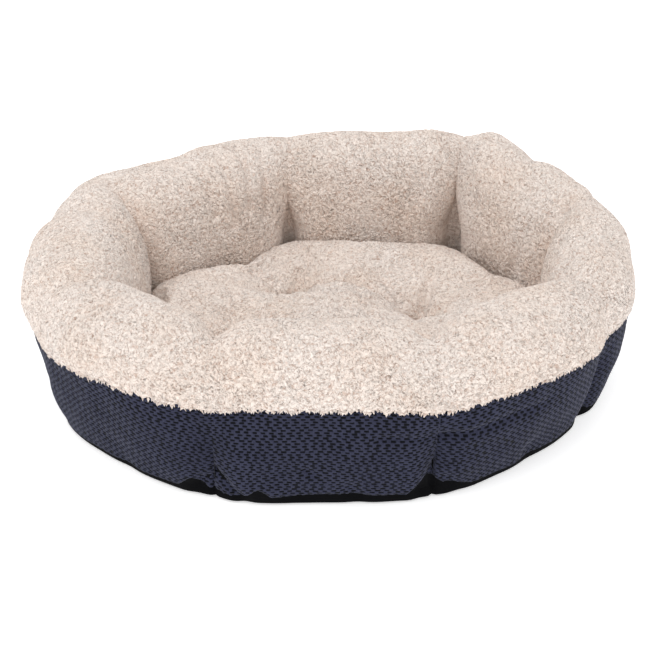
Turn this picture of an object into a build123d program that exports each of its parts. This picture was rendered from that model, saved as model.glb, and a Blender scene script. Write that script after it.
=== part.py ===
"""Oval pet cushion bed: a ring of eight stuffed wall pockets on a non-slip base, with a loose tufted cushion.

The frame is +Z up, with the front of the bed towards -Y. The origin is under the middle of the outline, on the
surface that the bed stands on. All sizes are in millimetres.
"""
from build123d import *
import math
import os

# Seams between wall pockets, in order round the bed from the front left. Each seam is an upright line of sewing
# across the wall. It is given by its inner edge in plan, its outer edge in plan, the height of the wall there, and
# its tuck: how far the wall draws in at its outer foot.
SEAMS = [
    {"inner": (-84, -139), "outer": (-87, -228), "height": 132, "tuck": 0},
    {"inner": (74, -142), "outer": (85, -230), "height": 132, "tuck": 3},
    {"inner": (180, -66), "outer": (231, -112), "height": 130, "tuck": 10},
    {"inner": (197, 37), "outer": (247, 86), "height": 131, "tuck": 10},
    {"inner": (118, 141), "outer": (141, 208), "height": 148, "tuck": 8},
    {"inner": (-36, 151), "outer": (-38, 226), "height": 137, "tuck": 5},
    {"inner": (-160, 60), "outer": (-230, 130), "height": 131, "tuck": 12},
    {"inner": (-160, -74), "outer": (-241, -108), "height": 130, "tuck": 6},
]

# Wall pockets, each between the seam of its own number and the next one. Between its seams a pocket swells
# inwards, outwards and upwards by these amounts, and its outer foot draws in by its tuck more than at the seams.
POCKETS = [
    {"name": "front", "inward": 4, "outward": 8, "upward": 9, "tuck": 0},
    {"name": "front_right", "inward": 4, "outward": 27, "upward": 9, "tuck": 15},
    {"name": "right", "inward": 4, "outward": 26, "upward": 8, "tuck": 0},
    {"name": "back_right", "inward": 3, "outward": 24, "upward": 6, "tuck": 16},
    {"name": "back", "inward": 4, "outward": 17, "upward": 3, "tuck": 12},
    {"name": "back_left", "inward": 10, "outward": 24, "upward": 6, "tuck": 16},
    {"name": "left", "inward": 4, "outward": 28, "upward": 9, "tuck": 22},
    {"name": "front_left", "inward": 4, "outward": 29, "upward": 10, "tuck": 14},
]

# Section of the wall, from the foot on its inner side over the crest to the foot on its outer side. Each point is
# a share of the wall's thickness from its inner edge, a share of its height, and a share of its tuck.
LINING_LINE = [(0.14, 0.045, 0), (0.04, 0.20, 0), (0.0, 0.42, 0), (0.03, 0.66, 0), (0.13, 0.85, 0), (0.32, 0.97, 0),
               (0.53, 1.0, 0), (0.74, 0.955, 0), (0.91, 0.83, 0.02), (0.985, 0.67, 0.17)]
OUTER_LINE = [(0.987, 0.645, 0.195), (1.0, 0.54, 0.33), (0.985, 0.34, 0.55), (0.92, 0.17, 0.7), (0.84, 0.055, 0.75)]

PILE_CLOTH = 7.0  # fleece lining, backing and pile together
KNIT_CLOTH = 2.0  # outer panels
KNIT_DEPTH = 3.0  # how far the knit lies under the tips of the pile
SKIN_GAP = 1.4  # between a skin and the filling behind it
DIVIDER_CLOTH = 1.2
PANEL_END_GAP = 0.5  # from a panel's end to the seam
FILL_END_GAP = 1.8  # from the filling's end to the seam
STATIONS = [0.0, 0.15, 0.35, 0.65, 0.85, 1.0]  # where sections stand along a pocket
THREAD_WIDTH = 0.6
THREAD_DEPTH = 4.2
RIM_THREAD_DROP = 0.9  # below the lining's lower edge
BASE_THREAD_DROP = 0.9  # below the outer panels' lower edge

BASE_CLOTH = 1.4
# The base cloth's heights, and how far its two faces lie inside the foot of the outer panels there.
BASE_OUTSIDE = [(0.0, 13.0), (1.8, 7.0), (6.2, 3.6)]
BASE_INSIDE = [(BASE_CLOTH, 13.6), (3.2, 8.4), (6.2, 5.0)]
FLOOR_CLOTH = 1.0
FLOOR_GAP = 0.3
FLOOR_UNDER_WALL = 6.0  # how far the floor's lining goes under the wall

CUSHION_BOTTOM = 3.2
CUSHION_COVER = 3.0
CUSHION_COVER_GAP = 1.2
CUSHION_SEAM_HEIGHT = 27.0
CUSHION_SEAM_GAP = 0.6
CUSHION_THREAD = 0.4
CUSHION_CLEARANCE = 5.5  # from the cushion's widest outline to the middle of each pocket
CUSHION_CORNER = 7.0  # how much further inside it is at the seams
# Height above the cushion's underside, and the outline's size there as a share of the widest one.
CUSHION_LEVELS = [(0.0, 0.88), (5.5, 0.95), (16, 0.99), (27, 1.0), (38, 0.98), (48, 0.91), (54, 0.79), (56, 0.6)]
CUSHION_RADIUS = 150.0  # from its middle to its edge, on average
TUFT_CENTRE = (4, -14)
TUFT_SPACING = 122.0
TUFT_TURN = -19.5
TUFT_HEIGHT = 30.0
TUFT_DISH_RADIUS = 46.0
TIE_RADIUS = 0.9
TIE_HOLE_RADIUS = 1.2
KNOT_RADIUS = 2.4
KNOT_HEIGHT = 1.0


def between(start, end, share):
    return tuple(a + (b - a) * share for a, b in zip(start, end))


def swell(share):
    """How full a pocket is at a share of its length: 0 at both seams, 1 in the middle, and quick to rise."""
    return 1 - abs(2 * share - 1) ** 2.6


def pushed(point, start, end, distance):
    """A point moved square to the line from start to end, to its right when distance is positive."""
    along = Vector(end[0] - start[0], end[1] - start[1]).normalized()
    return (point[0] + along.Y * distance, point[1] - along.X * distance)


def wall_at(index, share):
    """Inner edge, outer edge and height of a pocket's wall at a share of the way between its two seams."""
    first, second, pocket = SEAMS[index], SEAMS[(index + 1) % len(SEAMS)], POCKETS[index]
    fullness = swell(share)
    inner = between(first["inner"], second["inner"], share)
    outer = between(first["outer"], second["outer"], share)
    inner = pushed(inner, first["inner"], second["inner"], -pocket["inward"] * fullness)
    outer = pushed(outer, first["outer"], second["outer"], pocket["outward"] * fullness)
    height = first["height"] + (second["height"] - first["height"]) * share + pocket["upward"] * fullness
    return inner, outer, height


def wall_tuck(index, share):
    """How far a pocket's wall draws in at its outer foot, at a share of the way between its two seams."""
    first, second = SEAMS[index]["tuck"], SEAMS[(index + 1) % len(SEAMS)]["tuck"]
    return first + (second - first) * share + POCKETS[index]["tuck"] * swell(share)


def wall_plane(index, share):
    """Upright plane across the wall: its x runs from the inner edge outwards, and its y is up."""
    inner, outer, _ = wall_at(index, share)
    outward = Vector(outer[0] - inner[0], outer[1] - inner[1]).normalized()
    return Plane(origin=(inner[0], inner[1], 0), x_dir=outward, z_dir=outward.cross(Vector(0, 0, 1)))


def section_points(index, share, line, depth):
    """The section's line at this place, in millimetres, moved into the wall by depth."""
    inner, outer, height = wall_at(index, share)
    thickness, tuck = math.dist(inner, outer), wall_tuck(index, share)
    points = [Vector(x * thickness - drawn_in * tuck, z * height) for x, z, drawn_in in line]
    moved = []
    for place, point in enumerate(points):
        before, after = points[max(place - 1, 0)], points[min(place + 1, len(points) - 1)]
        along = (after - before).normalized()
        moved.append((point.X + along.Y * depth, point.Y - along.X * depth))
    return moved


def stations(index, end_gap):
    """Shares along a pocket where its sections stand, with the two end ones end_gap away from the seams."""
    first, second = SEAMS[index], SEAMS[(index + 1) % len(SEAMS)]
    trim = end_gap / math.dist(between(first["inner"], first["outer"], 0.5),
                               between(second["inner"], second["outer"], 0.5))
    return [min(max(share, trim), 1 - trim) for share in STATIONS]


def skin_panel(index, line, shallow, deep, label):
    """A pocket's panel of cloth: the wall's section line given a thickness, carried from seam to seam."""
    with BuildPart() as panel:
        for share in stations(index, PANEL_END_GAP):
            outside = section_points(index, share, line, shallow)
            inside = section_points(index, share, line, deep)
            with BuildSketch(wall_plane(index, share)):
                with BuildLine():
                    Spline(*outside)
                    Line(outside[-1], inside[-1])
                    Spline(*reversed(inside))
                    Line(inside[0], outside[0])
                make_face()
        loft()
    panel.part.label = label
    return panel.part


def fill_outline(index, share):
    return section_points(index, share, LINING_LINE + OUTER_LINE, PILE_CLOTH + SKIN_GAP)


def wall_fill(index, label):
    """The loose stuffing of one pocket, taken as one solid."""
    with BuildPart() as stuffing:
        for share in stations(index, FILL_END_GAP):
            outline = fill_outline(index, share)
            with BuildSketch(wall_plane(index, share)):
                with BuildLine():
                    Spline(*outline)
                    Line(outline[-1], outline[0])
                make_face()
        loft()
    stuffing.part.label = label
    return stuffing.part


def pocket_divider(index, label):
    """The cloth sewn across the wall at a seam, which keeps the stuffing in its pocket."""
    outline = fill_outline(index, 0.0)
    with BuildPart() as divider:
        with BuildSketch(wall_plane(index, 0.0)):
            with BuildLine():
                Spline(*outline)
                Line(outline[-1], outline[0])
            make_face()
        extrude(amount=DIVIDER_CLOTH / 2, both=True)
    divider.part.label = label
    return divider.part


def seam_thread(line, place, drop, label):
    """Sewing thread that follows one point of the wall's section round the whole bed, pocket by pocket."""
    with BuildPart() as thread:
        for index in range(len(POCKETS)):
            for share in stations(index, PANEL_END_GAP):
                x, z = section_points(index, share, line, THREAD_DEPTH)[place]
                with BuildSketch(wall_plane(index, share)):
                    with Locations((x, z - drop)):
                        Rectangle(THREAD_WIDTH, THREAD_WIDTH)
            loft(ruled=True)
    thread.part.label = label
    return thread.part


def plan_outline(wall_share, tuck_share, inset):
    """Points of a closed outline through the wall, at a share of its thickness less a share of its tuck.

    The outline is then moved towards the middle by inset.
    """
    points = []
    for index in range(len(POCKETS)):
        for share in (0.0, 0.5):
            inner, outer, _ = wall_at(index, share)
            reach = wall_share - tuck_share * wall_tuck(index, share) / math.dist(inner, outer)
            place = Vector(*between(inner, outer, reach))
            points.append(place - place.normalized() * inset)
    return points


def cushion_outline(size):
    """Points of the cushion's outline: just inside the pockets, cut back at the seams, and size times as large."""
    points = plan_outline(0.0, 0.0, CUSHION_CLEARANCE)
    corners = plan_outline(0.0, 0.0, CUSHION_CLEARANCE + CUSHION_CORNER)
    points[::2] = corners[::2]
    return [point * size for point in points]


def outline_sheet(height, thickness, points):
    """A flat sheet with this outline, its underside at this height."""
    with BuildPart() as sheet:
        with BuildSketch(Plane.XY.offset(height)):
            with BuildLine():
                Spline(*points, periodic=True)
            make_face()
        extrude(amount=thickness)
    return sheet.part


def outline_solid(levels):
    """A solid with straight sides from each (height, outline) of levels to the next."""
    with BuildPart() as solid:
        for height, points in levels:
            with BuildSketch(Plane.XY.offset(height)):
                with BuildLine():
                    Spline(*points, periodic=True)
                make_face()
        loft(ruled=True)
    return solid.part


def cushion_levels(shrink):
    """The cushion's heights and outlines, moved inside its surface by shrink."""
    top = CUSHION_LEVELS[-1][0]
    levels = []
    for height, size in CUSHION_LEVELS:
        inner_height = shrink + height * (top - 2 * shrink) / top
        levels.append((CUSHION_BOTTOM + inner_height, cushion_outline(size - shrink / CUSHION_RADIUS)))
    return levels


def base_levels(levels):
    foot, _, foot_tuck = OUTER_LINE[-1]
    return [(height, plan_outline(foot, foot_tuck, inset)) for height, inset in levels]


def cushion_block(shrink):
    """The cushion's crowned shape with a dish at each tuft, moved inside its surface by shrink."""
    with BuildPart() as block:
        add(outline_solid(cushion_levels(shrink)))
        with Locations(*[(x, y, TUFT_HEIGHT + TUFT_DISH_RADIUS) for x, y in TUFTS]):
            Sphere(TUFT_DISH_RADIUS + shrink, mode=Mode.SUBTRACT)
        with Locations(*[(x, y, CUSHION_BOTTOM) for x, y in TUFTS]):
            Cylinder(TIE_HOLE_RADIUS, 2 * TUFT_HEIGHT, mode=Mode.SUBTRACT)
    return block.part


def turned(x, y, degrees):
    angle = math.radians(degrees)
    return (x * math.cos(angle) - y * math.sin(angle), x * math.sin(angle) + y * math.cos(angle))


TUFTS = []
for corner_x in (-0.5, 0.5):
    for corner_y in (-0.5, 0.5):
        offset_x, offset_y = turned(corner_x * TUFT_SPACING, corner_y * TUFT_SPACING, TUFT_TURN)
        TUFTS.append((TUFT_CENTRE[0] + offset_x, TUFT_CENTRE[1] + offset_y))

pieces = []

# The ring of wall pockets.
for number, pocket in enumerate(POCKETS):
    place = pocket["name"]
    previous = POCKETS[number - 1]["name"]
    pieces.append(skin_panel(number, LINING_LINE, 0.0, PILE_CLOTH, f"lining_panel_{place}"))
    pieces.append(skin_panel(number, OUTER_LINE, KNIT_DEPTH, KNIT_DEPTH + KNIT_CLOTH, f"outer_panel_{place}"))
    pieces.append(wall_fill(number, f"wall_fill_{place}"))
    pieces.append(pocket_divider(number, f"pocket_divider_{previous}_to_{place}"))
pieces.append(seam_thread(LINING_LINE, -1, RIM_THREAD_DROP, "rim_seam_thread"))
pieces.append(seam_thread(OUTER_LINE, -1, BASE_THREAD_DROP, "base_seam_thread"))

# The base cloth: a shallow pan whose edge turns up to meet the outer panels.
with BuildPart() as base_cloth:
    add(outline_solid(base_levels(BASE_OUTSIDE)))
    add(outline_solid(base_levels(BASE_INSIDE)), mode=Mode.SUBTRACT)
base_cloth.part.label = "base_cloth"
pieces.append(base_cloth.part)

# The cloth that lines the floor of the nest, over the base cloth.
with BuildPart() as floor_lining:
    add(outline_sheet(BASE_CLOTH + FLOOR_GAP, FLOOR_CLOTH, plan_outline(0.0, 0.0, -FLOOR_UNDER_WALL)))
floor_lining.part.label = "floor_lining"
pieces.append(floor_lining.part)

# The loose cushion.
with BuildPart() as cushion_fill:
    add(cushion_block(CUSHION_COVER + CUSHION_COVER_GAP))
cushion_fill.part.label = "cushion_fill"
pieces.append(cushion_fill.part)

cushion_cover = cushion_block(0.0) - cushion_block(CUSHION_COVER)
for name, keep, seam_plane in (
    ("cushion_top", Keep.TOP, Plane.XY.offset(CUSHION_SEAM_HEIGHT + CUSHION_SEAM_GAP / 2)),
    ("cushion_bottom", Keep.BOTTOM, Plane.XY.offset(CUSHION_SEAM_HEIGHT - CUSHION_SEAM_GAP / 2)),
):
    with BuildPart() as cover_half:
        add(cushion_cover)
        split(bisect_by=seam_plane, keep=keep)
    cover_half.part.label = name
    pieces.append(cover_half.part)

thread_bottom = CUSHION_SEAM_HEIGHT - CUSHION_THREAD / 2
with BuildPart() as cushion_seam_thread:
    add(outline_sheet(thread_bottom, CUSHION_THREAD, cushion_outline(0.996)))
    add(outline_sheet(thread_bottom, CUSHION_THREAD, cushion_outline(0.988)), mode=Mode.SUBTRACT)
cushion_seam_thread.part.label = "cushion_seam_thread"
pieces.append(cushion_seam_thread.part)

with BuildPart() as tuft_ties:
    with Locations(*[(x, y, CUSHION_BOTTOM + 0.2) for x, y in TUFTS]):
        Cylinder(TIE_RADIUS, TUFT_HEIGHT - CUSHION_BOTTOM, align=(Align.CENTER, Align.CENTER, Align.MIN))
    with Locations(*[(x, y, TUFT_HEIGHT + 0.2) for x, y in TUFTS]):
        Cylinder(KNOT_RADIUS, KNOT_HEIGHT, align=(Align.CENTER, Align.CENTER, Align.MIN))
tuft_ties.part.label = "tuft_ties"
pieces.append(tuft_ties.part)

os.makedirs("parts", exist_ok=True)
for piece in pieces:
    export_step(piece, f"parts/{piece.label}.step")

whole = Compound(children=pieces).bounding_box()
print("outline", whole.min, whole.max)
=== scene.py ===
"""Looks of an oval pet cushion bed with a fleece-lined ring of stuffed pockets, laid out as a Blender add-on.

Every shape is a surface over two numbers. "ring" runs round the bed and counts pockets, so that whole numbers are
the seams between them, starting at the front left. "line" runs over the wall in millimetres, from its foot inside
the nest, over the crest, to its foot outside. Lengths are in millimetres until a mesh is made.
"""
import math

import bpy
import numpy as np
from bpy.props import FloatProperty, FloatVectorProperty, PointerProperty
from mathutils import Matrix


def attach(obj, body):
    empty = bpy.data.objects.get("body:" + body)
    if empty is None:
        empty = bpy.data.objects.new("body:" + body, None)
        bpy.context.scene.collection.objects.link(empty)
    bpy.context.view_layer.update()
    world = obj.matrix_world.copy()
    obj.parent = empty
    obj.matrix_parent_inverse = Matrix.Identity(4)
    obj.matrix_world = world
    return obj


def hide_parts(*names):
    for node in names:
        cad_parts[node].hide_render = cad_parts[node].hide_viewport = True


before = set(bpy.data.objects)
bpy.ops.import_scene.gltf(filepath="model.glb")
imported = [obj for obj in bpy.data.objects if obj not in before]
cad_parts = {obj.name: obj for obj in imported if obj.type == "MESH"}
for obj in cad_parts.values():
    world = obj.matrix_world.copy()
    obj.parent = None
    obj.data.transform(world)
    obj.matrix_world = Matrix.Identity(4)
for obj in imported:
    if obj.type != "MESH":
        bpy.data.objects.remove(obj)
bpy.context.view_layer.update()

bl_info = {
    "name": "Fleece pet bed",
    "version": (1, 0, 0),
    "blender": (4, 5, 0),
    "location": "3D View > Sidebar > Pet Bed",
    "description": "Builds the fleece, knit and cushion of an oval pet bed round its frame",
    "category": "Add Mesh",
}

MM = 0.001

# The seams between pockets, in order from the front left: inner edge, outer edge and height of the wall there.
SEAM_INNER = np.array([(-84, -139), (74, -142), (180, -66), (197, 37), (118, 141), (-36, 151), (-160, 60),
                       (-160, -74)], float)
SEAM_OUTER = np.array([(-87, -228), (85, -230), (231, -112), (247, 86), (141, 208), (-38, 226), (-230, 130),
                       (-241, -108)], float)
SEAM_HEIGHT = np.array([132, 132, 130, 131, 148, 137, 131, 130], float)
# How far the wall draws in at its outer foot at each seam, and how much further in the middle of each pocket.
SEAM_TUCK = np.array([0, 3, 12, 10, 8, 5, 12, 11], float)
POCKET_TUCK = np.array([0, 17, 0, 16, 12, 16, 24, 16], float)
POCKETS = ("front", "front_right", "right", "back_right", "back", "back_left", "left", "front_left")
# How far each pocket swells inwards, outwards and upwards between its seams.
INWARD = np.array([4, 4, 4, 3, 4, 10, 4, 4], float)
OUTWARD = np.array([8, 27, 26, 24, 17, 24, 28, 29], float)
UPWARD = np.array([9, 9, 8, 6, 3, 6, 9, 10], float)

# Section of the wall, from the inner foot over the crest: shares of its thickness and of its height, and the share
# of its tuck there. The tuck is what the wall draws in by at its outer foot.
SECTION = np.array([(0.14, 0.045, 0), (0.04, 0.20, 0), (0.0, 0.42, 0), (0.03, 0.66, 0), (0.13, 0.85, 0),
                    (0.32, 0.97, 0), (0.53, 1.0, 0), (0.74, 0.955, 0), (0.91, 0.83, 0.02), (0.985, 0.67, 0.17),
                    (1.0, 0.54, 0.33), (0.985, 0.34, 0.55), (0.94, 0.17, 0.7), (0.89, 0.055, 0.75),
                    (0.88, 0.015, 0.77)])
TYPICAL_WALL = (86.0, 139.0)  # thickness and height that "line" is measured on

# Places along the section where a seam's crease is given: inside the nest, at the crest, on the outer fleece and on
# the knit. There each seam has a depth, and all have a half width and a sharpness.
CREASE_PLACES = np.array([0.0, 60.0, 95.0, 140.0, 180.0, 236.0, 246.0, 270.0, 350.0])
CREASE_DEPTHS = np.array([
    (17, 17, 15, 11, 5, 1.5, 4, 10, 11),
    (16, 16, 13, 8, 3, 1.5, 4, 11, 12),
    (14, 13, 10, 4, 2, 1.0, 5, 13, 14),
    (13, 11, 8, 4, 2, 1.0, 3, 7, 8),
    (25, 24, 15, 7, 3, 1.5, 3, 7, 8),
    (24, 17, 3, 1.5, 1, 1.0, 3, 7, 8),
    (20, 18, 12, 6, 3, 1.0, 3, 7, 8),
    (15, 14, 10, 4, 2, 1.0, 3, 7, 8)], float)
CREASE_SPREADS = np.array([1.0, 1.0, 1.0, 1.1, 1.35, 1.15, 1.0, 1.0])
CREASE_WIDTHS = np.array([19, 19, 21, 24, 30, 34, 20, 19, 19], float)
CREASE_SHARPNESS = np.array([1.0, 1.0, 0.8, 0.2, 0.0, 0.0, 0.3, 0.7, 0.8])
# Half width of the open gap between two pockets inside the nest, which closes towards the crest.
CREASE_GAPS = np.array([0, 0, 0, 0, 9.0, 7.0, 2.0, 0])

# Folds in the wall's cloth: the pocket, its start and end as (share of the pocket's length, line), width and depth.
# A fold with a depth below zero is a bulge.
WALL_FOLDS = (
    ("front", (0.01, 290), (0.22, 330), 7, 4.5), ("front", (0.42, 282), (0.46, 290), 6, 2.5),
    ("front", (0.74, 249), (1.0, 251), 6, 2.5), ("front", (1.0, 285), (0.92, 322), 8, 5.0),
    ("front", (0.30, 262), (0.36, 318), 14, 1.5), ("front", (0.62, 300), (0.70, 335), 10, 2.0),
    ("front_right", (0.0, 252), (0.55, 249), 7, 4.0), ("front_right", (0.05, 300), (0.20, 338), 9, 3.0),
    ("front_right", (0.5, 300), (0.62, 336), 12, 2.5), ("front_left", (0.97, 300), (0.86, 338), 9, 3.5),
    ("front_left", (0.55, 310), (0.5, 340), 12, 2.0), ("left", (0.2, 300), (0.3, 340), 12, 2.5),
    ("right", (0.45, 285), (0.4, 335), 12, 3.0), ("back_right", (0.5, 290), (0.56, 335), 12, 3.0),
    ("back", (0.35, 290), (0.3, 338), 12, 3.0), ("back_left", (0.6, 290), (0.66, 338), 12, 3.0),
    ("back_left", (0.20, 80), (0.16, 150), 6, 5.0), ("back_left", (0.31, 90), (0.29, 150), 5, 5.0),
    ("back_left", (0.42, 82), (0.42, 146), 6, 5.5), ("back_left", (0.54, 95), (0.58, 150), 7, 4.0),
    ("back", (0.80, 100), (0.86, 160), 9, 2.4), ("back", (0.2, 90), (0.16, 150), 9, 2.0),
    ("back_right", (0.35, 40), (0.2, 110), 11, 2.6), ("right", (0.30, 60), (0.42, 130), 11, 2.6),
    ("right", (0.7, 40), (0.62, 110), 12, 2.4), ("left", (0.35, 120), (0.25, 190), 14, 2.6),
    ("back_right", (0.53, 170), (0.53, 225), 20, 6.0), ("back_right", (0.85, 170), (0.85, 235), 24, -5.0),
    ("back_right", (0.0, 170), (0.0, 225), 30, -7.0), ("right", (1.0, 170), (1.0, 225), 30, -7.0),
    ("back", (0.5, 170), (0.5, 235), 60, 4.5),
    ("right", (0.7, 165), (0.7, 225), 30, -3.0), ("left", (0.32, 170), (0.32, 235), 30, 9.0),
    ("back_left", (1.0, 170), (1.0, 235), 30, -9.0), ("left", (0.0, 170), (0.0, 235), 30, -9.0),
    ("left", (0.6, 165), (0.6, 235), 30, 2.0), ("back_left", (0.6, 170), (0.6, 230), 40, 3.0),
    ("front", (0.5, 140), (0.58, 185), 14, 1.8), ("front_right", (0.45, 130), (0.38, 190), 14, 2.2),
)
# Notches where the outer panels' lower edge rides up: place round the ring, half width and lift.
FOOT_NOTCHES = ((7.91, 11, 14), (0.2, 10, 10), (0.5, 120, 4), (0.96, 14, 15), (1.06, 20, 6), (2.0, 12, 6), (3.0, 12, 8),
                (4.0, 12, 8), (5.0, 12, 8), (6.0, 12, 8), (7.0, 12, 8))
FOOT_LIFT = 1.0
BASE_TURN_UP = 30.0  # how far the base cloth turns up behind the outer panels
BASE_THICKNESS = 1.2

KNIT_DEPTH = 3.6  # the knit lies under the tips of the pile
LINING_THICKNESS = 6.0
KNIT_THICKNESS = 1.6
FILL_DEPTH = 9.0
DIVIDER_THICKNESS = 1.2
PILE_GRID = 0.95
KNIT_GRID = 0.75
EDGE_STEPS = (-0.4, 0.2, 0.8, 1.6, 2.5)  # distances from a seam of the first columns of a panel

# The loose cushion. Its tufts stand on the corners of a turned square.
TUFT_CENTRE = (4.0, -14.0)
TUFT_SPACING = 122.0
TUFT_TURN = math.radians(-19.5)
TUFT_HEIGHT = 32.0
CUSHION_LINE = 32.0  # where on the wall's section the cushion's edge touches it
CUSHION_COLUMNS = 22  # to each pocket, before the surface is made finer
CUSHION_WAVES = 14  # the outline is smoothed to fewer waves than this
CUSHION_FLOOR = 3.4
CUSHION_SEAM = 26.0
CUSHION_CROWN = 24.0
# Creases that run out from the tufts over the cushion: start, end, width and depth.
CUSHION_FOLDS = (
    ((-33, 64), (-14, 112), 7, 4.8), ((-33, 64), (-78, 92), 7, 4.2), ((-33, 64), (-66, 38), 8, 5.4),
    ((-33, 64), (8, 52), 9, 4.2), ((-33, 64), (-40, 20), 9, 3.6), ((82, 23), (46, 62), 7, 5.4),
    ((82, 23), (104, 92), 7, 5.4), ((82, 23), (98, 62), 5, 3.6), ((82, 23), (132, 30), 8, 4.2),
    ((-33, 64), (70, 28), 7, 5.0), ((82, 23), (-20, 60), 7, 5.0), ((82, 23), (76, -24), 8, 4.2),
    ((82, 23), (36, 12), 9, 3.0), ((41, -92), (20, -60), 8, 4.2),
    ((41, -92), (80, -60), 8, 4.2), ((-74, -51), (-40, -30), 8, 4.2), ((-74, -51), (-110, -20), 8, 4.2),
)

SLOPES = np.array([(1, 1, 0), (-1, 1, 0), (1, -1, 0), (-1, -1, 0), (1, 0, 1), (-1, 0, 1), (1, 0, -1), (-1, 0, -1),
                   (0, 1, 1), (0, -1, 1), (0, 1, -1), (0, -1, -1), (1, 1, 0), (-1, 1, 0), (0, -1, 1), (0, -1, -1)],
                  np.float32)


# ---------------------------------------------------------------- noise

def soft_noise(points, size, seed=0):
    """Smooth noise from about -1 to 1 with features of about this size.

    Each corner of a cubic lattice has a slope, chosen by mixing the corner's whole numbers. The value is the sum
    of the eight nearest slopes' ramps, blended across the cell by 6t^5 - 15t^4 + 10t^3.
    """
    places = points / size + seed * 17.31
    cell = np.floor(places)
    inside = (places - cell).astype(np.float32)
    cell = cell.astype(np.int64)
    blend = inside ** 3 * (inside * (inside * 6 - 15) + 10)
    total = np.zeros(points.shape[:-1], np.float32)
    for corner in np.ndindex(2, 2, 2):
        x, y, z = (cell[..., axis] + corner[axis] for axis in range(3))
        mixed = (x * 73856093) ^ (y * 19349663) ^ (z * 83492791) ^ (seed * 2654435)
        mixed = (mixed ^ (mixed >> 13)) * 1274126177 & 0x7FFFFFFF
        slope = SLOPES[(mixed >> 8) % 16]
        ramp = ((inside - np.array(corner, np.float32)) * slope).sum(-1)
        weight = np.prod(np.where(corner, blend, 1 - blend), -1)
        total += ramp * weight
    return total


def curls(points, size, seed):
    """Broad rounded curls with narrow gaps along the lines where the noise is zero: from -1 in a gap to 1."""
    return np.minimum(10 * np.abs(soft_noise(points, size, seed)), 2) - 1


def curled_pile(points):
    """Height of the fleece's pile, from about -1 to 1: bent curls of two sizes, deeper in patches, on loose clumps."""
    bend = np.stack([soft_noise(points, 6.0, seed) for seed in (1, 2, 3)], -1)
    sway = np.stack([soft_noise(points, 22.0, seed) for seed in (7, 8, 9)], -1)
    bent = points + 3.0 * bend + 5.0 * sway
    both = 0.42 * curls(bent, 3.6, 4) + 0.30 * curls(bent, 2.5, 5)
    patchy = 0.85 + 0.35 * soft_noise(points, 48.0, 10)
    return both * patchy + 0.08 * soft_noise(points, 8.0, 6)


def segment_distance(x, y, start, end):
    """Distance of each place from the straight stretch between two points."""
    along_x, along_y = end[0] - start[0], end[1] - start[1]
    share = ((x - start[0]) * along_x + (y - start[1]) * along_y) / (along_x ** 2 + along_y ** 2)
    share = np.clip(share, 0, 1)
    return np.hypot(x - start[0] - share * along_x, y - start[1] - share * along_y), share


def fold_valley(x, y, start, end, width):
    """A fold's valley: 1 on its line, falling as a bell over its width, and fading out to its far end."""
    distance, share = segment_distance(x, y, start, end)
    return np.exp(-(distance / width * 1.5) ** 2) * np.cos(share * math.pi / 2) ** 0.5


# ---------------------------------------------------------------- the wall

def smooth_table(points, steps=24):
    """Points along a Catmull-Rom curve through the given ones, steps to each stretch."""
    ends = np.vstack([2 * points[0] - points[1], points, 2 * points[-1] - points[-2]])
    t = np.linspace(0, 1, steps, endpoint=False)[:, None]
    stretches = []
    for a, b, c, d in zip(ends, ends[1:], ends[2:], ends[3:]):
        stretches.append(0.5 * (2 * b + (c - a) * t + (2 * a - 5 * b + 4 * c - d) * t ** 2
                                + (3 * b - a - 3 * c + d) * t ** 3))
    return np.vstack(stretches + [points[-1:]])


SECTION_TABLE = smooth_table(SECTION)
SECTION_STEPS = np.linalg.norm(np.diff(SECTION_TABLE[:, :2] * TYPICAL_WALL, axis=0), axis=1)
SECTION_LINE = np.concatenate([[0], np.cumsum(SECTION_STEPS)])
LINE_END = SECTION_LINE[-1]


def line_at(share):
    """The place along the section's outer side where its height is this share of the wall's."""
    outside = np.argmax(SECTION_TABLE[:, 1])
    return float(np.interp(-share, -SECTION_TABLE[outside:, 1], SECTION_LINE[outside:]))


RIM_LINE = line_at(0.66)
FOOT_LINE = line_at(0.022)


def swell(share):
    """How full a pocket is along its length: 0 at its seams and 1 in the middle, as 1 - |2s - 1|^2.6."""
    return 1 - np.abs(2 * share - 1) ** 2.6


def wall_at(ring):
    """Inner edge, outer edge, height and tuck of the wall at each place round the ring.

    Each is a straight mix of the two seams' values, plus the pocket's own amount times its fullness there. The edges
    are pushed by it square to the chord between the seams.
    """
    pocket = np.floor(ring).astype(int) % 8
    share = ring - np.floor(ring)
    following = (pocket + 1) % 8
    full = swell(share)
    edges = []
    for seams, push in ((SEAM_INNER, -INWARD), (SEAM_OUTER, OUTWARD)):
        start, end = seams[pocket], seams[following]
        along = (end - start) / np.linalg.norm(end - start, axis=1, keepdims=True)
        square = np.stack([along[:, 1], -along[:, 0]], 1)
        edges.append(start + (end - start) * share[:, None] + square * (push[pocket] * full)[:, None])
    height = SEAM_HEIGHT[pocket] * (1 - share) + SEAM_HEIGHT[following] * share + UPWARD[pocket] * full
    tuck = SEAM_TUCK[pocket] * (1 - share) + SEAM_TUCK[following] * share + POCKET_TUCK[pocket] * full
    return edges[0], edges[1], height, tuck


def pocket_length(number):
    """Distance between a pocket's two seams, measured half way through the wall."""
    middle = (SEAM_INNER + SEAM_OUTER) / 2
    return float(np.linalg.norm(middle[(number + 1) % 8] - middle[number % 8]))


POCKET_LENGTHS = np.array([pocket_length(number) for number in range(8)])


def section_at(ring, line):
    """Distance from the inner edge and height of the wall's section at each place: rows of line, columns of ring."""
    inner, outer, height, tuck = wall_at(ring)
    depth, rise, drawn_in = (np.interp(line, SECTION_LINE, SECTION_TABLE[:, column]) for column in range(3))
    return depth * np.linalg.norm(outer - inner, axis=1) - drawn_in * tuck, rise * height


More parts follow.
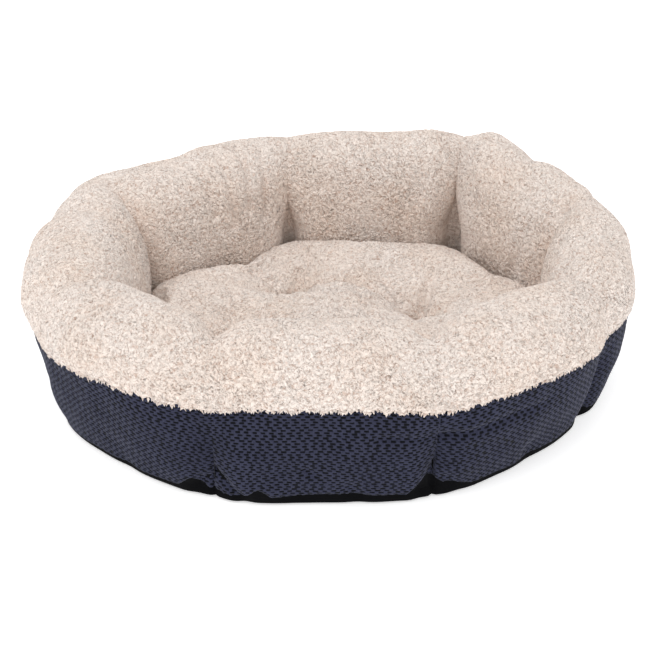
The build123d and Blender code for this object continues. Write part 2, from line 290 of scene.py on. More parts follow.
def wall_points(ring, line, offset):
    """Points of the wall, as rows along the section and columns round the ring.

    The section's shares of thickness and height are stretched to the wall's own at each column, and each point is
    moved by its offset along the section's outward normal, which lies in the upright plane across the wall.
    """
    if line.ndim == 1:
        line = line[:, None]
    ahead_out, ahead_up = section_at(ring, np.minimum(line + 3.0, LINE_END))
    behind_out, behind_up = section_at(ring, np.maximum(line - 3.0, 0))
    slope_out, slope_up = ahead_out - behind_out, ahead_up - behind_up
    steepness = np.hypot(slope_out, slope_up)
    out, up = section_at(ring, line)
    out = out - slope_up / steepness * offset
    up = up + slope_out / steepness * offset
    inner, outer, _, _ = wall_at(ring)
    across = (outer - inner) / np.linalg.norm(outer - inner, axis=1, keepdims=True)
    return np.concatenate([inner + across * out[..., None], up[..., None]], -1)


def relief(ring, line):
    """How far the stuffed cloth stands out from the plain wall: its lumps, less its seam creases and folds.

    A sharp crease is the valley between two round edges, 1 - sqrt(1 - n^2), and a soft one is n^2 (3 - 2n), where n
    falls from 1 at the seam to 0 at the crease's half width. The places' sharpness mixes the two.
    """
    if line.ndim == 1:
        line = np.broadcast_to(line[:, None], (len(line), len(ring)))
    seam = np.rint(ring).astype(int) % 8
    pocket = np.floor(ring).astype(int) % 8
    distance = np.abs(ring - np.rint(ring)) * POCKET_LENGTHS[pocket]
    depth = np.zeros(line.shape)
    for number in range(8):
        depth += np.where(seam == number, np.interp(line, CREASE_PLACES, CREASE_DEPTHS[number]), 0)
    width = np.interp(line, CREASE_PLACES, CREASE_WIDTHS) * CREASE_SPREADS[seam]
    gap = CREASE_GAPS[seam] * np.interp(line, (55, 85), (1, 0))
    near = 1 - np.minimum(np.maximum(distance - gap, 0) / width, 1)
    sharpness = np.interp(line, CREASE_PLACES, CREASE_SHARPNESS)
    sharp = 1 - np.sqrt(np.maximum(1 - near ** 2, 0))
    soft = near ** 2 * (3 - 2 * near)
    plain = wall_points(ring, line, np.zeros(line.shape))
    form = 3.2 * soft_noise(plain, 66.0, 11) + 1.5 * soft_noise(plain, 27.0, 12)
    form -= depth * (sharpness * sharp + (1 - sharpness) * soft)
    for name, start, end, width, fold_depth in WALL_FOLDS:
        number = POCKETS.index(name)
        length = POCKET_LENGTHS[number]
        across = (ring - number) * length
        fold = fold_valley(across[None, :], line, (start[0] * length, start[1]), (end[0] * length, end[1]), width)
        form -= np.where(pocket == number, fold_depth * fold, 0)
    return form


def panel_ring(number, grid, gap=0.0):
    """Places round the ring for one pocket's columns: close together at its seams, and a grid apart between."""
    length = POCKET_LENGTHS[number]
    edge = np.array(EDGE_STEPS) + gap
    count = int((length - 2 * edge[-1]) / grid)
    middle = np.linspace(edge[-1], length - edge[-1], count + 1)[1:-1]
    places = np.concatenate([edge, middle, length - edge[::-1]])
    return number + places / length


# ---------------------------------------------------------------- meshes

def new_mesh(name, points, faces, attributes=(), smooth=True):
    """An object with this mesh: points in millimetres, faces as lists or arrays of point numbers."""
    mesh = bpy.data.meshes.new(name)
    sizes = np.concatenate([np.full(len(block), block.shape[1]) for block in faces])
    corners = np.concatenate([block.ravel() for block in faces]).astype(np.int32)
    mesh.vertices.add(len(points))
    mesh.vertices.foreach_set("co", (points * MM).astype(np.float32).ravel())
    mesh.loops.add(len(corners))
    mesh.loops.foreach_set("vertex_index", corners)
    mesh.polygons.add(len(sizes))
    mesh.polygons.foreach_set("loop_start", np.concatenate([[0], np.cumsum(sizes)[:-1]]).astype(np.int32))
    mesh.update(calc_edges=True)
    mesh.polygons.foreach_set("use_smooth", np.full(len(sizes), smooth))
    for label, values in attributes:
        mesh.attributes.new(label, "FLOAT", "POINT").data.foreach_set("value", values.astype(np.float32).ravel())
    mesh.set_sharp_from_angle(angle=math.radians(80))
    piece = bpy.data.objects.new(name, mesh)
    bpy.context.scene.collection.objects.link(piece)
    return piece


def tube_faces(rows, columns):
    """Faces of a tube whose rows close on themselves, with its two open ends closed by one face each."""
    row, column = np.meshgrid(np.arange(rows), np.arange(columns - 1), indexing="ij")
    below = (row + 1) % rows
    quads = np.stack([row * columns + column, below * columns + column,
                      below * columns + column + 1, row * columns + column + 1], -1).reshape(-1, 4)
    start = np.arange(rows) * columns
    end = start[::-1] + columns - 1
    return [quads, start[None, ::-1], end[None, ::-1]]


def closed_panel(name, outside, inside, attributes=()):
    """A panel of cloth from seam to seam: its outside rows, then its inside rows back again, closed all round."""
    points = np.concatenate([outside, inside[::-1]])
    whole = [(label, np.concatenate([values, np.zeros(inside.shape[:2])])) for label, values in attributes]
    return new_mesh(name, points.reshape(-1, 3), tube_faces(*points.shape[:2]), whole)


def finish_piece(piece, body, slot, *nodes):
    """Gives the piece its material and the body that it moves with, and hides the frame's nodes that it stands for."""
    piece.data.materials.append(material(slot))
    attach(piece, body)
    if nodes:
        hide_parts(*nodes)
    return piece


# ---------------------------------------------------------------- materials

def linear(colour):
    """An sRGB hex colour as linear red, green, blue and alpha."""
    parts = [int(colour[place:place + 2], 16) / 255 for place in (1, 3, 5)]
    return [part / 12.92 if part <= 0.04045 else ((part + 0.055) / 1.055) ** 2.4 for part in parts] + [1.0]


def add_node(tree, kind, inputs=None, **settings):
    """Adds a node with its settings. inputs maps a socket to a value, or to another node's output to link from."""
    made = tree.nodes.new(kind)
    for name, value in settings.items():
        setattr(made, name, value)
    for socket, value in (inputs or {}).items():
        if isinstance(value, bpy.types.NodeSocket):
            tree.links.new(value, made.inputs[socket])
        else:
            made.inputs[socket].default_value = value
    return made


def new_material(name):
    """A material with a Principled BSDF alone, its tree and that shader."""
    material = bpy.data.materials.new(name)
    material.use_nodes = True
    tree = material.node_tree
    return material, tree, tree.nodes["Principled BSDF"]


def set_sockets(shader, **values):
    """Sets the shader's sockets, each named with underscores for its spaces."""
    for name, value in values.items():
        shader.inputs[name.replace("_", " ")].default_value = value


def mix_colours(tree, factor, first, second, blend="MIX"):
    mix = add_node(tree, "ShaderNodeMix", {0: factor}, data_type="RGBA", blend_type=blend)
    for socket, value in ((mix.inputs[6], first), (mix.inputs[7], second)):
        if isinstance(value, bpy.types.NodeSocket):
            tree.links.new(value, socket)
        else:
            socket.default_value = value
    return mix.outputs[2]


def sherpa_fleece(name):
    """Sherpa fleece, knitted polyester with a brushed and tumbled pile: matte cream curls, with painted shade in the
    pits between them, darker and warmer.

    The pile's own height and fine noise darken the colour towards the pits as painted shade, the same fine noise breaks
    the curls into fibres, and broad noise lays warm patches.
    """
    settings = bpy.context.scene.pet_bed
    made, tree, shader = new_material(name)
    place = add_node(tree, "ShaderNodeTexCoord").outputs["Object"]
    pile = add_node(tree, "ShaderNodeAttribute", attribute_name="pile").outputs["Fac"]
    fibres = add_node(tree, "ShaderNodeTexNoise", {"Vector": place, "Scale": 1 / (2.3 * MM), "Detail": 1.0,
                                                   "Roughness": 0.4, "Distortion": 1.3})
    patches = add_node(tree, "ShaderNodeTexNoise", {"Vector": place, "Scale": 1 / (45 * MM), "Detail": 2.0})
    # Painted shade: the pile's height and the fine noise mix the colour from the curls' tips down to the darker, warmer
    # pit shade colour in the pits.
    deep = add_node(tree, "ShaderNodeMath", {0: pile, 1: 0.2}, operation="MULTIPLY")
    rise = add_node(tree, "ShaderNodeMath", {0: fibres.outputs["Fac"], 1: 1.9, 2: deep.outputs[0]},
                    operation="MULTIPLY_ADD")
    ramp = add_node(tree, "ShaderNodeMapRange", {0: rise.outputs[0], 1: 0.38, 2: 1.05, 3: 0.0, 4: 1.0})
    tufts = mix_colours(tree, ramp.outputs[0], list(settings.pit_shade_colour), list(settings.fleece_colour))
    warm = add_node(tree, "ShaderNodeMapRange", {0: patches.outputs["Fac"], 1: 0.35, 2: 0.75, 3: 0.0, 4: 0.5})
    warmed = mix_colours(tree, 1.0, tufts, linear("#F7EDE4"), "MULTIPLY")
    tree.links.new(mix_colours(tree, warm.outputs[0], tufts, warmed), shader.inputs["Base Color"])
    bump = add_node(tree, "ShaderNodeBump", {"Height": fibres.outputs["Fac"], "Strength": 1.0, "Distance": 2.6 * MM})
    tree.links.new(bump.outputs[0], shader.inputs["Normal"])
    set_sockets(shader, Roughness=0.95, Sheen_Weight=0.2, Sheen_Roughness=0.6, Specular_IOR_Level=0.15)
    return made


def navy_knit(name):
    """Warp-knitted polyester mesh: matte navy bars between rows of slits set half a step apart, with painted shade in
    the slits.

    The knit's own relief gives the slits and where their painted shade goes, and noise gives the yarn's fibres and the
    cloth's wear.
    """
    settings = bpy.context.scene.pet_bed
    made, tree, shader = new_material(name)
    cells = add_node(tree, "ShaderNodeAttribute", attribute_name="knit").outputs["Fac"]
    place = add_node(tree, "ShaderNodeTexCoord").outputs["Object"]
    fibres = add_node(tree, "ShaderNodeTexNoise", {"Vector": place, "Scale": 1 / (1.1 * MM), "Detail": 2.0})
    wear = add_node(tree, "ShaderNodeTexNoise", {"Vector": place, "Scale": 1 / (30 * MM), "Detail": 3.0})
    light = list(settings.knit_colour)
    shaded = mix_colours(tree, 1.0, light, linear("#9A9AA6"), "MULTIPLY")
    bars = mix_colours(tree, fibres.outputs["Fac"], shaded, light)
    dulled = mix_colours(tree, 1.0, bars, linear("#C4C2C8"), "MULTIPLY")
    worn = mix_colours(tree, wear.outputs["Fac"], bars, dulled)
    # Painted shade: the slits are darkened to the slit shade colour, near black.
    edge = add_node(tree, "ShaderNodeMapRange", {0: cells, 1: 0.35, 2: 0.8, 3: 0.0, 4: 1.0}).outputs[0]
    colour = mix_colours(tree, edge, list(settings.slit_shade_colour), worn)
    tree.links.new(colour, shader.inputs["Base Color"])
    bump = add_node(tree, "ShaderNodeBump", {"Height": fibres.outputs["Fac"], "Strength": 0.6, "Distance": 0.4 * MM})
    tree.links.new(bump.outputs[0], shader.inputs["Normal"])
    set_sockets(shader, Roughness=0.85, Sheen_Weight=0.1, Sheen_Roughness=0.4, Specular_IOR_Level=0.15)
    return made


def woven_cloth(name, colour, thread, specular=0.3):
    """Plain-woven polyester: threads over and under each other, drawn as crossing waves one thread wide."""
    made, tree, shader = new_material(name)
    place = add_node(tree, "ShaderNodeTexCoord").outputs["Object"]
    waves = []
    for direction in ("X", "Y"):
        wave = add_node(tree, "ShaderNodeTexWave", {"Vector": place, "Scale": 0.1 * math.pi / (thread * MM)},
                        wave_type="BANDS", bands_direction=direction)
        waves.append(wave.outputs["Fac"])
    weave = add_node(tree, "ShaderNodeMath", {0: waves[0], 1: waves[1]}, operation="MULTIPLY")
    soil = add_node(tree, "ShaderNodeTexNoise", {"Vector": place, "Scale": 1 / (25 * MM), "Detail": 3.0})
    dark = mix_colours(tree, 1.0, linear(colour), linear("#C8C8C8"), "MULTIPLY")
    shade = mix_colours(tree, weave.outputs[0], dark, linear(colour))
    tree.links.new(mix_colours(tree, soil.outputs["Fac"], shade, dark), shader.inputs["Base Color"])
    bump = add_node(tree, "ShaderNodeBump", {"Height": weave.outputs[0], "Strength": 0.5, "Distance": 0.2 * MM})
    tree.links.new(bump.outputs[0], shader.inputs["Normal"])
    set_sockets(shader, Roughness=0.9, Specular_IOR_Level=specular)
    return made


def fibre_fill(name):
    """Polyester fibre stuffing: white, matte, tangled hair."""
    made, tree, shader = new_material(name)
    place = add_node(tree, "ShaderNodeTexCoord").outputs["Object"]
    tangle = add_node(tree, "ShaderNodeTexNoise", {"Vector": place, "Scale": 1 / (4 * MM), "Detail": 6.0,
                                                   "Distortion": 3.0})
    colour = mix_colours(tree, tangle.outputs["Fac"], linear("#D8D8D4"), linear("#F6F6F2"))
    tree.links.new(colour, shader.inputs["Base Color"])
    set_sockets(shader, Roughness=1.0)
    return made


def spun_thread(name):
    """Spun polyester sewing thread: dark, with a fine twist."""
    made, tree, shader = new_material(name)
    place = add_node(tree, "ShaderNodeTexCoord").outputs["Object"]
    twist = add_node(tree, "ShaderNodeTexWave", {"Vector": place, "Scale": 0.314 / (0.5 * MM)},
                     bands_direction="DIAGONAL")
    colour = mix_colours(tree, twist.outputs["Fac"], linear("#15161F"), linear("#2E303C"))
    tree.links.new(colour, shader.inputs["Base Color"])
    set_sockets(shader, Roughness=0.7)
    return made


# The frame's material slots, each with its material's name here and the function that makes it.
MATERIALS = {
    "sherpa_fleece": ("tumbled_sherpa_fleece", sherpa_fleece),
    "navy_knit": ("navy_warp_knit", navy_knit),
    "non_slip_cloth": ("black_grip_cloth", lambda name: woven_cloth(name, "#0B0B0E", 0.9, 0.1)),
    "plain_cloth": ("undyed_plain_cloth", lambda name: woven_cloth(name, "#D9CEC4", 0.8)),
    "polyester_fibre": ("white_fibre_filling", fibre_fill),
    "thread": ("spun_polyester_thread", spun_thread),
}


def material(slot):
    """The slot's material, made the first time that it is asked for."""
    name, maker = MATERIALS[slot]
    return bpy.data.materials.get(name) or maker(name)


# ---------------------------------------------------------------- pieces

def add_lining(number):
    """One pocket's fleece lining: the wall's surface plus its relief and the curled pile, over a flat backing.

    Its lower edge outside wanders with the curls, and there the surface turns in like a quarter circle.
    """
    settings = bpy.context.scene.pet_bed
    ring = panel_ring(number, PILE_GRID)
    edge_points = wall_points(ring, np.array([RIM_LINE]), 0.0)[0]
    edge_line = RIM_LINE + 2.2 * soft_noise(edge_points, 6.0, 21) + 1.2 * soft_noise(edge_points, 2.6, 22)
    share = np.linspace(0, 1, int(RIM_LINE / PILE_GRID))[:, None]
    line = share * edge_line
    form = relief(ring, line)
    rough = curled_pile(wall_points(ring, line, form))
    turn = 1 - np.clip((edge_line - line) / 4.5, 0, 1)
    rounding = 4.8 * (1 - np.sqrt(np.maximum(1 - turn ** 2, 0)))
    outside = wall_points(ring, line, form + settings.pile_height * rough * (1 - 0.6 * turn) - rounding)
    back_line = np.linspace(0, RIM_LINE - 1, 24)
    inside = wall_points(ring, back_line, relief(ring, back_line) - LINING_THICKNESS)
    # The pile attribute darkens the fleece's colour in the pits between the curls: painted shade.
    piece = closed_panel(f"fleece_lining_{POCKETS[number]}", outside, inside, attributes=[("pile", rough)])
    finish_piece(piece, "bed", "sherpa_fleece", f"lining_panel_{POCKETS[number]}")
    return piece


def knit_cells(across, up, unevenness):
    """The knit's relief: 0 in a slit and 1 on the bars between, with the slits half a step on in every other row."""
    settings = bpy.context.scene.pet_bed
    row = np.floor(up / settings.row_height)
    step = settings.slit_length + settings.slit_gap
    x = (across / step + 0.5 * (row % 2) + 0.12 * np.sin(2.4 * row)) % 1.0 - 0.5
    y = (up / settings.row_height) % 1.0 - 0.5
    edge_x = (np.abs(x) * step - settings.slit_length / 2) / 1.0
    edge_y = (np.abs(y) * settings.row_height - (settings.row_height - settings.bar_height) / 2) / 0.8
    return np.clip(np.maximum(edge_x, edge_y) + 0.6 + unevenness, 0, 1)


def foot_line(ring):
    """Where the outer panels end: a little above the base, and higher in each notch, as a rounded V."""
    line = np.full(len(ring), FOOT_LINE - FOOT_LIFT)
    for place, width, lift in FOOT_NOTCHES:
        distance = np.abs((ring - place + 4) % 8 - 4) * 165.0
        line -= lift * np.maximum(1 - np.hypot(distance, 2.0) / width, 0)
    return line


def add_outer_panel(number):
    """One pocket's knitted outer panel: the wall's surface under the pile, with the knit's slits pressed in."""
    ring = panel_ring(number, KNIT_GRID)
    end = foot_line(ring)
    share = np.linspace(0, 1, int((FOOT_LINE - RIM_LINE + 6) / KNIT_GRID))[:, None]
    line = RIM_LINE - 6 + share * (end - RIM_LINE + 6)
    hem = 1 - np.clip((end - line) / 3.0, 0, 1)
    form = relief(ring, line) - KNIT_DEPTH - 1.4 * hem ** 2
    plain = wall_points(ring, line, form)
    middle = len(line) // 2
    across = np.concatenate([[0], np.cumsum(np.linalg.norm(np.diff(plain[middle], axis=0), axis=1))])
    across = np.broadcast_to(across, line.shape)
    up = LINE_END - line + 1.6 * soft_noise(plain, 34.0, 31)
    cells = knit_cells(across + 1.0 * soft_noise(plain, 12.0, 32), up, 0.45 * soft_noise(plain, 4.5, 33))
    outside = wall_points(ring, line, form + 0.8 * (cells - 1))
    back = RIM_LINE - 6 + np.linspace(0, 1, 12)[:, None] * (end - RIM_LINE + 5.4)
    inside = wall_points(ring, back, relief(ring, back) - KNIT_DEPTH - KNIT_THICKNESS - 1.2)
    piece = closed_panel(f"knit_panel_{POCKETS[number]}", outside, inside, attributes=[("knit", cells)])
    finish_piece(piece, "bed", "navy_knit", f"outer_panel_{POCKETS[number]}")


def add_fringe():
    """The curls that hang over the outer panels: thin four-sided points, each with its own length and tilt."""
    rng = np.random.default_rng(5)
    ring = np.sort(rng.uniform(0, 8, 1300))
    line = RIM_LINE + 2.2 * soft_noise(wall_points(ring, np.array([RIM_LINE]), 0.0)[0], 6.0, 21) - 0.5
    form = relief(ring, line[None])[0]
    root = wall_points(ring, line[None], (form - rng.uniform(0.8, 3.2, len(ring)))[None])[0]
    ahead = wall_points(ring + 0.003, line[None], form[None])[0] - wall_points(ring, line[None], form[None])[0]
    side = ahead / np.linalg.norm(ahead, axis=1, keepdims=True)
    down = wall_points(ring, line[None] + 2, form[None])[0] - wall_points(ring, line[None], form[None])[0]
    down /= np.linalg.norm(down, axis=1, keepdims=True)
    out = np.cross(down, side)
    length = rng.uniform(0.8, 3.2, (len(ring), 1))
    tilt = rng.normal(0, 0.45, (len(ring), 1))
    radius = rng.uniform(0.8, 1.6, (len(ring), 1))
    tip = root + down * length + side * tilt * length + out * rng.uniform(-0.6, 0.3, (len(ring), 1))
    corners = [root + side * radius, root + out * radius * 0.8, root - side * radius, root - out * radius * 0.8]
    points = np.stack(corners + [tip, root - down * 1.5], 1).reshape(-1, 3)
    start = (np.arange(len(ring)) * 6)[:, None]
    faces = []
    for first in range(4):
        after = (first + 1) % 4
        faces += [start + np.array([(first, after, 4)]), start + np.array([(after, first, 5)])]
    # Pile values for the fleece's painted shade: each curl is darker at its root and on its inner side, and lighter at
    # its tip.
    heights = np.tile([0.0, 0.2, 0.0, -0.4, 0.7, -0.6], len(ring))
    piece = new_mesh("fleece_edge_curls", points, faces, attributes=[("pile", heights)])
    return finish_piece(piece, "bed", "sherpa_fleece")


def add_wall_fill(number):
    """One pocket's stuffing: the wall's whole section, well under the cloth, closed under its foot."""
    ring = panel_ring(number, 6.0, gap=1.5)
    line = np.linspace(0, LINE_END, 70)
    outside = wall_points(ring, line, relief(ring, line) - FILL_DEPTH)
    under = outside[-1:] + (outside[:1] - outside[-1:]) * np.linspace(0.05, 0.95, 8)[:, None, None]
    piece = closed_panel(f"stuffing_{POCKETS[number]}", outside, under[::-1])
    finish_piece(piece, "bed", "polyester_fibre", f"wall_fill_{POCKETS[number]}")
    return piece


def add_divider(number):
    """The divider at a seam: the wall's section there, under the cloth, as a sheet square to the seam's chord.
    """
    seam = np.array([float(number)])
    line = np.linspace(0, LINE_END, 60)
    outline = wall_points(seam, line, relief(seam, line) - FILL_DEPTH)
    inner, outer, _, _ = wall_at(seam)
    along = np.array([outer[0, 1] - inner[0, 1], inner[0, 0] - outer[0, 0], 0.0])
    along *= -DIVIDER_THICKNESS / 2 / np.linalg.norm(along)
    points = np.concatenate([outline - along, outline + along], 1)
    previous = POCKETS[number - 1]
    name = f"divider_{previous}_to_{POCKETS[number]}"
    piece = new_mesh(name, points.reshape(-1, 3), tube_faces(len(line), 2), smooth=False)
    finish_piece(piece, "bed", "plain_cloth", f"pocket_divider_{previous}_to_{POCKETS[number]}")


def disc_faces(rows, columns):
    """Faces of a closed surface of rings: rows round the middle, with a fan to a pole at each end."""
    row, column = np.meshgrid(np.arange(rows - 1), np.arange(columns), indexing="ij")
    after = (column + 1) % columns
    quads = np.stack([row * columns + column, row * columns + after,
                      (row + 1) * columns + after, (row + 1) * columns + column], -1).reshape(-1, 4)
    ring = np.arange(columns)
    following = (ring + 1) % columns
    last = (rows - 1) * columns
    poles = rows * columns
    first_fan = np.stack([following, ring, np.full(columns, poles)], -1)
    last_fan = np.stack([last + ring, last + following, np.full(columns, poles + 1)], -1)
    return [quads, first_fan, last_fan]


def disc_piece(name, rings, attributes=()):
    """A closed surface from rings of points, from the pole of the first to the pole of the last."""
    poles = [rings[row].mean(0, keepdims=True) for row in (0, -1)]
    points = np.concatenate([rings.reshape(-1, 3)] + poles)
    whole = [(label, np.append(values, (values[0].mean(), values[-1].mean()))) for label, values in attributes]
    return new_mesh(name, points, disc_faces(*rings.shape[:2]), whole)


def wall_ring(ring, line, offset):
    """The closed ring of points that the wall has at one place of its section."""
    return wall_points(ring, np.array([line]), offset)[0]


def add_base():
    """The black base cloth: flat underneath, and turned up at its edge behind the outer panels' feet.

    Its rings are shares of the foot's ring pulled in to the middle, then the wall's own surface, and back inside.
    """
    ring = np.arange(0, 8, 1 / 60)
    foot = wall_ring(ring, FOOT_LINE, relief(ring, np.array([FOOT_LINE]))[0] * 0.6 - KNIT_DEPTH - 1.0)
    foot[:, 2] = 0
    rings = [foot * share for share in np.linspace(0.04, 0.983, 24)]
    rings += [foot * share + (0, 0, height) for share, height in ((0.99, 0.4), (0.996, 1.2), (1.0, 2.6))]
    top_line = FOOT_LINE - BASE_TURN_UP
    for line in np.linspace(FOOT_LINE - 4, top_line, 8):
        depth = relief(ring, np.array([line]))[0] - KNIT_DEPTH - KNIT_THICKNESS - 0.2
        rings.append(wall_ring(ring, line, depth))
    rings.append(wall_ring(ring, top_line, depth - BASE_THICKNESS))
    rings += [foot * share + (0, 0, height) for share, height in ((0.985, 6.0), (0.97, 2.4))]
    rings += [foot * share + (0, 0, BASE_THICKNESS + 0.2) for share in np.linspace(0.95, 0.04, 12)]
    piece = disc_piece("base_cloth_pan", np.array(rings))
    finish_piece(piece, "bed", "non_slip_cloth", "base_cloth")


def add_floor_lining():
    """The cloth on the nest's floor: two faces 0.9 mm apart, lying in faint waves on the base."""
    ring = np.arange(0, 8, 1 / 30)
    edge = wall_ring(ring, 2.0, relief(ring, np.array([2.0]))[0] - 13.0)
    edge[:, 2] = 0
    shares = np.linspace(0.03, 1, 40)[:, None, None]
    lower = edge[None] * shares
    wave = 0.35 * soft_noise(lower, 45.0, 41)
    lower[..., 2] = 1.9 + wave
    upper = lower[::-1] + (0, 0, 0.9)
    piece = disc_piece("floor_lining_cloth", np.concatenate([lower, upper]))
    finish_piece(piece, "bed", "plain_cloth", "floor_lining")


def stitches(name, centres, directions, lengths, thickness, body, *nodes):
    """Stitches of thread: at each centre, a four-sided spindle that lies along its direction."""
    directions = directions / np.linalg.norm(directions, axis=1, keepdims=True)
    level = np.where(np.abs(directions[:, 2:]) > 0.9, (1.0, 0.0, 0.0), (0.0, 0.0, 1.0))
    side = np.cross(directions, level)
    side *= thickness / 2 / np.linalg.norm(side, axis=1, keepdims=True)
    up = np.cross(side, directions)
    half = directions * (np.asarray(lengths)[:, None] / 2)
    sets = []
    for place, girth in ((-0.7, 0.9), (0.7, 0.9)):
        sets += [centres + half * place + girth * way for way in (side, up, -side, -up)]
    points = np.stack(sets + [centres - half, centres + half], 1).reshape(-1, 3)
    start = (np.arange(len(centres)) * 10)[:, None]
    faces = []
    for first in range(4):
        after = (first + 1) % 4
        faces += [start + np.array([(first, first + 4, after + 4, after)]), start + np.array([(first, after, 8)]),
                  start + np.array([(after + 4, first + 4, 9)])]
    piece = new_mesh(name, points, faces)
    return finish_piece(piece, body, "thread", *nodes)


def ring_stitches(name, points, length, gap, thickness, body, *nodes):
    """Stitches along a closed line of points, each of this length with this gap to the next."""
    steps = np.linalg.norm(np.roll(points, -1, 0) - points, axis=1)
    along = np.concatenate([[0], np.cumsum(steps)])
    closed = np.concatenate([points, points[:1]])
    places = np.arange(0, along[-1] - length, length + gap)
    starts, ends = (np.stack([np.interp(places + shift, along, closed[:, axis]) for axis in range(3)], 1)
                    for shift in (0, length))
    return stitches(name, (starts + ends) / 2, ends - starts, np.full(len(places), length), thickness, body, *nodes)


def add_seam_threads():
    """The sewing under the fleece's edge and at the outer panels' feet: stitches on the knit's surface."""
    ring = np.arange(0, 8, 1 / 160)
    for name, line, node in (("rim_stitches", np.full(len(ring), RIM_LINE - 1.5), "rim_seam_thread"),
                             ("foot_stitches", foot_line(ring) - 2.2, "base_seam_thread")):
        form = relief(ring, line[None]) - KNIT_DEPTH - 0.25
        ring_stitches(name, wall_points(ring, line[None], form)[0], 3.2, 1.0, 0.7, "bed", node)


# ---------------------------------------------------------------- the cushion

def tuft_places():
    """The four tufts in plan: the corners of a square, turned about its middle."""
    corner = np.array([(-0.5, 0.5), (0.5, 0.5), (0.5, -0.5), (-0.5, -0.5)]) * TUFT_SPACING
    cosine, sine = math.cos(TUFT_TURN), math.sin(TUFT_TURN)
    return corner @ np.array([(cosine, sine), (-sine, cosine)]) + TUFT_CENTRE


def cushion_cage():
    """The cushion before it is blown up, as rings from the middle of its top to the middle of its underside.

    Each ring is a share of the nest's own outline, smoothed to its first few waves. The top's height is a crown,
    (1 - s^14)^0.5, drawn down to the tuft height by a bell round each tuft.
    """
    ring = np.arange(8, 0, -1 / CUSHION_COLUMNS)
    form = relief(ring, np.array([CUSHION_LINE]))[0]
    waves = np.fft.rfft(wall_ring(ring, CUSHION_LINE, form * 0.25 + 1.2)[:, :2], axis=0)
    waves[CUSHION_WAVES:] = 0
    edge = np.fft.irfft(waves, len(ring), axis=0)
    top = np.concatenate([np.linspace(0.06, 0.92, 26), [0.95, 0.975, 0.99, 0.998]])
    side = np.array([(1.0, 29.0), (1.0, CUSHION_SEAM), (1.0, 21.0), (0.995, 15.0), (0.98, 9.0), (0.955, 5.0)])
    bottom = np.array([(share, CUSHION_FLOOR) for share in np.linspace(0.92, 0.03, 14)])
    shares = np.concatenate([top, side[:, 0], bottom[:, 0]])
    crown = 30.0 + CUSHION_CROWN * np.sqrt(1 - top ** 14)
    heights = np.concatenate([crown, side[:, 1], bottom[:, 1]])
    rings = np.empty((len(shares), len(ring), 3))
    rings[..., :2] = edge[None] * shares[:, None, None]
    rings[..., 2] = heights[:, None]
    upper = rings[:len(top)]
    for x, y in tuft_places():
        distance = np.hypot(upper[..., 0] - x, upper[..., 1] - y)
        upper[..., 2] += (TUFT_HEIGHT - upper[..., 2]) * np.exp(-(distance / 24.0) ** 2)
    return rings, len(top)


def blow_up(rings, top_rows):
    """The cushion's cage after cloth simulation with air pressure, with each point's movement capped.

    Only the top moves, and the tufts hold it down."""
    cage = disc_piece("cushion_cage", rings)
    held = cage.vertex_groups.new(name="held")
    x, y = rings[:top_rows, :, 0], rings[:top_rows, :, 1]
    nearest = np.min([np.hypot(x - tuft_x, y - tuft_y) for tuft_x, tuft_y in tuft_places()], axis=0)
    count = rings.shape[0] * rings.shape[1]
    fixed = np.concatenate([np.flatnonzero(nearest < 4.0), np.arange(top_rows * rings.shape[1], count), [count + 1]])
    held.add(fixed.tolist(), 1.0, "REPLACE")
    cloth = cage.modifiers.new("cloth", "CLOTH")
    cloth.settings.vertex_group_mass = "held"
    cloth.settings.use_pressure = True
    cloth.settings.uniform_pressure_force = 3.0
    cloth.settings.shrink_min = -0.05
    cloth.settings.bending_stiffness = 0.3
    cloth.settings.effector_weights.gravity = 0
    scene = bpy.context.scene
    for frame_number in range(1, 21):
        scene.frame_set(frame_number)
    blown = cage.evaluated_get(bpy.context.evaluated_depsgraph_get()).to_mesh()
    places = np.empty(len(blown.vertices) * 3, np.float32)
    blown.vertices.foreach_get("co", places)
    moved = places.reshape(-1, 3)[:count].reshape(rings.shape) / MM - rings
    scene.frame_set(1)
    mesh = cage.data
    bpy.data.objects.remove(cage)
    bpy.data.meshes.remove(mesh)
    distance = np.linalg.norm(moved, axis=-1, keepdims=True)
    return rings + moved * np.minimum(1, 11.0 / np.maximum(distance, 1e-6))


def calm_middle(rings):
    """The rings with waves shorter than 9 mm taken out of each, and three more rings drawn in to the middle of the top.

    A ring's waves are its Fourier series round the cushion, which is cut off where a wave gets that short.
    """
    waves = np.fft.rfft(rings, axis=1)
    centre = rings.mean(1, keepdims=True)
    around = math.tau * np.hypot(rings[..., 0] - centre[..., 0], rings[..., 1] - centre[..., 1]).mean(1)
    waves[np.arange(waves.shape[1])[None] > np.maximum(around / 9.0, 1)[:, None]] = 0
    calm = np.fft.irfft(waves, rings.shape[1], axis=1)
    middle = calm[0].mean(0)
    return np.concatenate([[middle + (calm[0] - middle) * share for share in (0.05, 0.35, 0.7)], calm])


def finer(rings):
    """Twice the rings and twice the columns: each new point is (9 (b + c) - (a + d)) / 16 of its four neighbours."""
    rows = np.concatenate([rings[:1], rings, rings[-1:]])
    between = (9 * (rows[1:-2] + rows[2:-1]) - (rows[:-3] + rows[3:])) / 16
    made = np.empty((2 * len(rings) - 1,) + rings.shape[1:])
    made[::2], made[1::2] = rings, between
    around = (9 * (made + np.roll(made, -1, 1)) - (np.roll(made, 1, 1) + np.roll(made, -2, 1))) / 16
    return np.stack([made, around], 2).reshape(len(made), -1, 3)


def normals(rings):
    """Outward normals of a surface of rings: the cross product of the steps down it and round it."""
    down = np.gradient(rings, axis=0)
    around = np.roll(rings, -1, 1) - np.roll(rings, 1, 1)
    cross = np.cross(around, down)
    return cross / np.maximum(np.linalg.norm(cross, axis=-1, keepdims=True), 1e-9)


